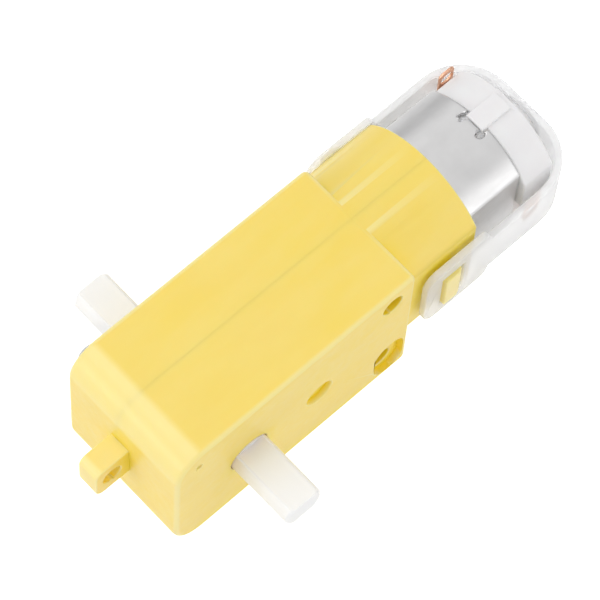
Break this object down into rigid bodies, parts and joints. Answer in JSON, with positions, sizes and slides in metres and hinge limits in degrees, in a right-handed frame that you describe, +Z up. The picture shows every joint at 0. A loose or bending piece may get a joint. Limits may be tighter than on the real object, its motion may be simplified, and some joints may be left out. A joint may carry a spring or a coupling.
{
  "type": "geared dc motor",
  "caption": "Right-angle geared dc motor: flat yellow gearbox with a double-D output shaft on both sides, round motor held by a clear strap.",
  "frame": {"origin": "the bottom centre of the whole part's box, at rest, on the plane of the gearbox's underside", "axes": "+X along the motor's axis from the front tab towards the motor, +Y along the output shafts towards the side with the locating peg, +Z up, square to the gearbox's narrow top face and underside"},
  "size_m": [0.0704, 0.037, 0.0224],
  "materials": {
    "yellow_abs": "satin moulded ABS",
    "white_nylon": "satin moulded nylon",
    "steel": "ground",
    "plated_steel": "nickel plated, drawn",
    "bronze": "sintered, oiled",
    "copper": "bare copper sheet",
    "enamelled_wire": "enamelled copper winding",
    "laminated_steel": "stacked laminations",
    "ferrite": "pressed ferrite",
    "black_resin": "moulded",
    "carbon": "pressed graphite",
    "fibre": "vulcanised fibre",
    "clear_plastic": "clear, slightly frosted"
  },
  "bodies": {
    "gearbox": {"housing_left_shell": "yellow_abs", "housing_right_shell": "yellow_abs", "housing_screw_upper": "steel", "housing_screw_lower": "steel", "gear_axle_pin": "steel", "axle_spacer": "white_nylon", "motor_can": "plated_steel", "front_bush": "bronze", "rear_bush": "bronze", "front_washer": "fibre", "rear_washer": "fibre", "magnet_upper": "ferrite", "magnet_lower": "ferrite", "endbell": "white_nylon", "terminal_left": "copper", "terminal_right": "copper", "brush_left": "carbon", "brush_right": "carbon", "retaining_strap": "clear_plastic"},
    "rotor": {"motor_pinion": "white_nylon", "motor_shaft": "steel", "armature_core": "laminated_steel", "coil_1": "enamelled_wire", "coil_2": "enamelled_wire", "coil_3": "enamelled_wire", "commutator_hub": "black_resin", "commutator_segment_1": "copper", "commutator_segment_2": "copper", "commutator_segment_3": "copper"},
    "crown": {"crown_gear": "white_nylon"},
    "second": {"second_gear": "white_nylon"},
    "third": {"third_gear": "white_nylon"},
    "output": {"output_gear_shaft": "white_nylon", "output_shaft_stub": "white_nylon"}
  },
  "joints": [
    {"name": "motor_spin", "type": "hinge", "parent": "gearbox", "child": "rotor", "pos_m": [0, 0.0012, 0.0112], "axis": [1, 0, 0], "continuous": true},
    {"name": "crown_spin", "type": "hinge", "parent": "gearbox", "child": "crown", "pos_m": [-0.0079, 0, 0.0112], "axis": [0, 1, 0], "continuous": true},
    {"name": "second_gear_spin", "type": "hinge", "parent": "gearbox", "child": "second", "pos_m": [-0.0189, 0, 0.0112], "axis": [0, 1, 0], "continuous": true},
    {"name": "third_gear_spin", "type": "hinge", "parent": "gearbox", "child": "third", "pos_m": [-0.0079, 0.006, 0.0112], "axis": [0, 1, 0], "continuous": true},
    {"name": "output_spin", "type": "hinge", "parent": "gearbox", "child": "output", "pos_m": [-0.0189, 0.012, 0.0112], "axis": [0, 1, 0], "continuous": true}
  ],
  "couplings": [
    {"joint": "crown_spin", "follows": "motor_spin", "ratio": 0.33333},
    {"joint": "second_gear_spin", "follows": "motor_spin", "ratio": -0.125},
    {"joint": "third_gear_spin", "follows": "motor_spin", "ratio": 0.058333},
    {"joint": "output_spin", "follows": "motor_spin", "ratio": -0.020833}
  ]
}
